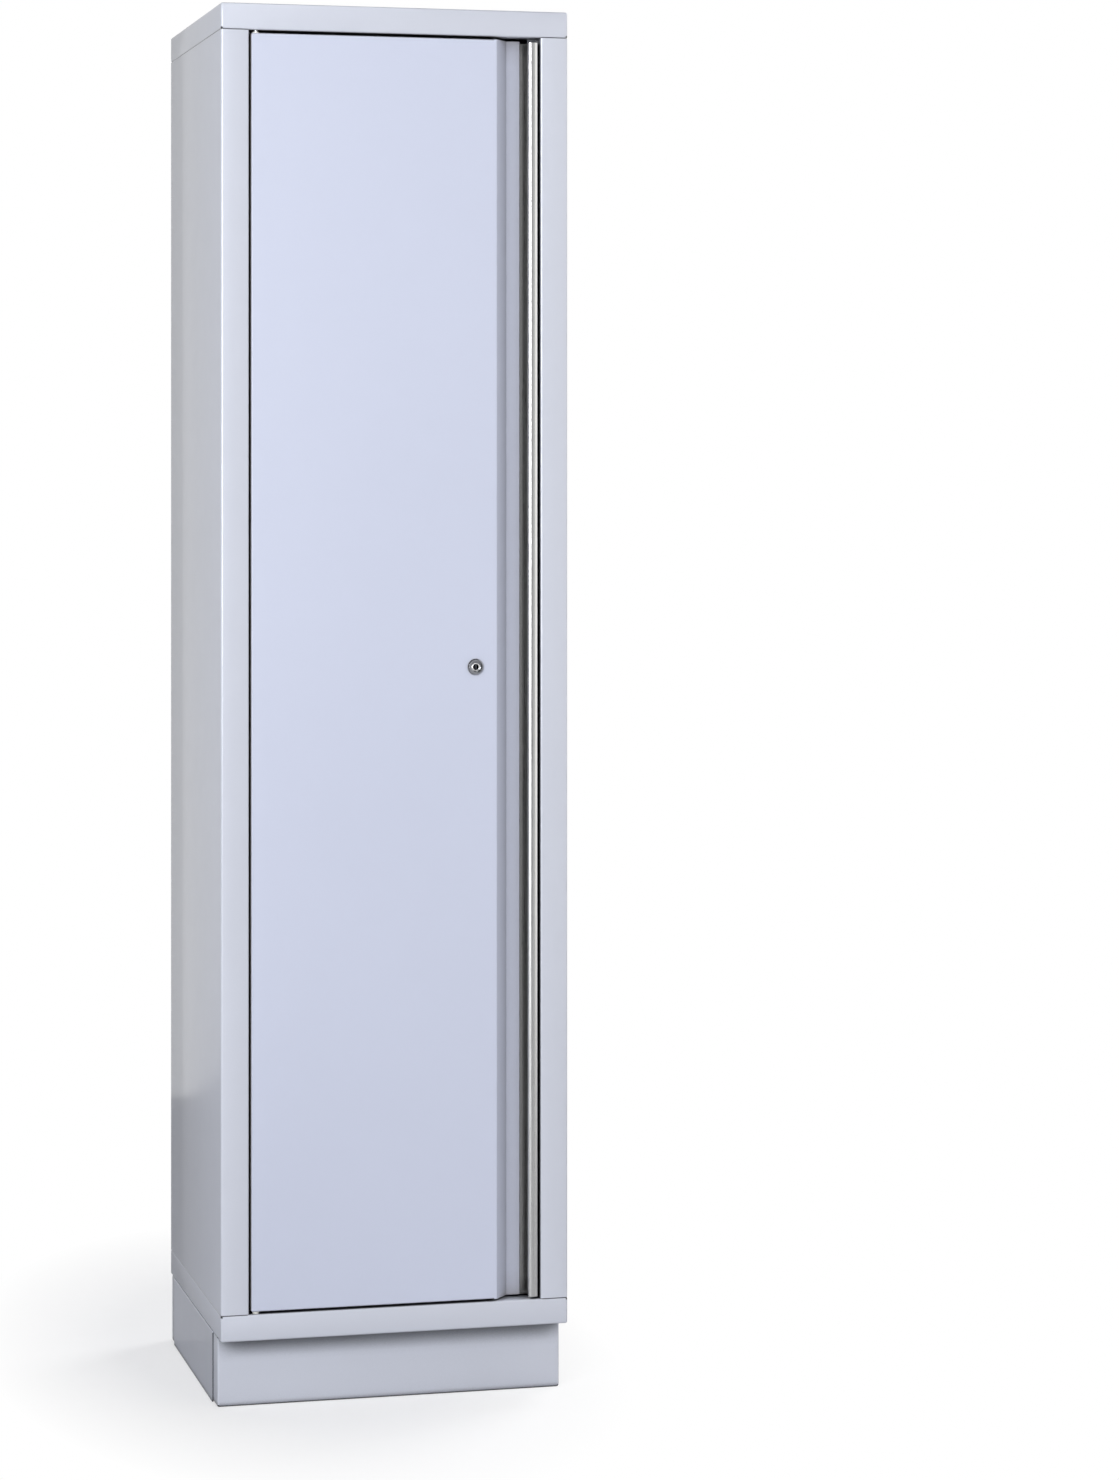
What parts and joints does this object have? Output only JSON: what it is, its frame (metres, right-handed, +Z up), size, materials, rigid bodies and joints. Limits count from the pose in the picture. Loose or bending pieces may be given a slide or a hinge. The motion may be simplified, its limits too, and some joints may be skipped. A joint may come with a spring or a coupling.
{
  "type": "tool chest side locker",
  "caption": "Tall sheet-steel side locker on a set-back plinth, with a flush hinged door, a full-height aluminium edge handle, a key lock with locking rods, and adjustable shelves inside.",
  "frame": {"origin": "middle of the footprint, on the floor", "axes": "+Z up, door facing -Y, hinge side at -X"},
  "size_m": [0.5, 0.4625, 1.97],
  "materials": {
    "paint": "light grey powder coat, satin, fine orange-peel texture",
    "aluminium": "bright anodised extrusion, fine lengthwise drawing lines",
    "chrome": "polished chrome plating",
    "zinc": "bright zinc-plated steel, slightly mottled",
    "nylon": "natural white nylon",
    "rubber": "matt black rubber"
  },
  "bodies": {
    "carcass": {"top_cap": "paint", "base_pan": "paint", "left_side_panel": "paint", "right_side_panel": "paint", "back_panel": "paint", "floor_panel": "paint", "plinth_front_panel": "paint", "plinth_back_panel": "paint", "plinth_left_plate": "paint", "plinth_right_plate": "paint", "hinge_pin_upper": "zinc", "hinge_pin_lower": "zinc", "hinge_washer": "nylon", "door_buffer_lower": "rubber", "door_buffer_upper": "rubber", "shelf_rail_front_left": "paint", "shelf_rail_front_right": "paint", "shelf_rail_rear_left": "paint", "shelf_rail_rear_right": "paint", "shelf_1": "paint", "shelf_2": "paint", "shelf_3": "paint", "shelf_4": "paint", "shelf_clip_1_front_left": "zinc", "shelf_clip_1_front_right": "zinc", "shelf_clip_1_rear_left": "zinc", "shelf_clip_1_rear_right": "zinc", "shelf_clip_2_front_left": "zinc", "shelf_clip_2_front_right": "zinc", "shelf_clip_2_rear_left": "zinc", "shelf_clip_2_rear_right": "zinc", "shelf_clip_3_front_left": "zinc", "shelf_clip_3_front_right": "zinc", "shelf_clip_3_rear_left": "zinc", "shelf_clip_3_rear_right": "zinc", "shelf_clip_4_front_left": "zinc", "shelf_clip_4_front_right": "zinc", "shelf_clip_4_rear_left": "zinc", "shelf_clip_4_rear_right": "zinc"},
    "door": {"door_skin": "paint", "handle_profile": "aluminium", "door_stiffener": "paint", "hinge_bush_upper": "nylon", "hinge_bush_lower": "nylon", "lock_barrel": "chrome", "lock_nut": "zinc", "rod_guide_top": "zinc", "rod_guide_above_lock": "zinc", "rod_guide_below_lock": "zinc", "rod_guide_bottom": "zinc"},
    "lock_core": {"lock_plug": "chrome", "lock_cam": "zinc", "lock_cam_screw": "zinc"},
    "upper_lock_rod": {"upper_rod": "zinc"},
    "lower_lock_rod": {"lower_rod": "zinc"}
  },
  "joints": [
    {"name": "door_swing", "type": "hinge", "parent": "carcass", "child": "door", "pos_m": [-0.1995, -0.223, 1.0345], "axis": [0, 0, -1], "range_deg": [0, 110]},
    {"name": "lock_turn", "type": "hinge", "parent": "door", "child": "lock_core", "pos_m": [0.115, -0.23, 1.038], "axis": [0, -1, 0], "range_deg": [0, 90]},
    {"name": "upper_rod_slide", "type": "slide", "parent": "door", "child": "upper_lock_rod", "axis": [0, 0, 1], "range_m": [0, 0.017]},
    {"name": "lower_rod_slide", "type": "slide", "parent": "door", "child": "lower_lock_rod", "axis": [0, 0, -1], "range_m": [0, 0.017]}
  ],
  "couplings": [
    {"joint": "upper_rod_slide", "follows": "lock_turn", "m_per_rad": 0.010804},
    {"joint": "lower_rod_slide", "follows": "lock_turn", "m_per_rad": 0.010804}
  ]
}
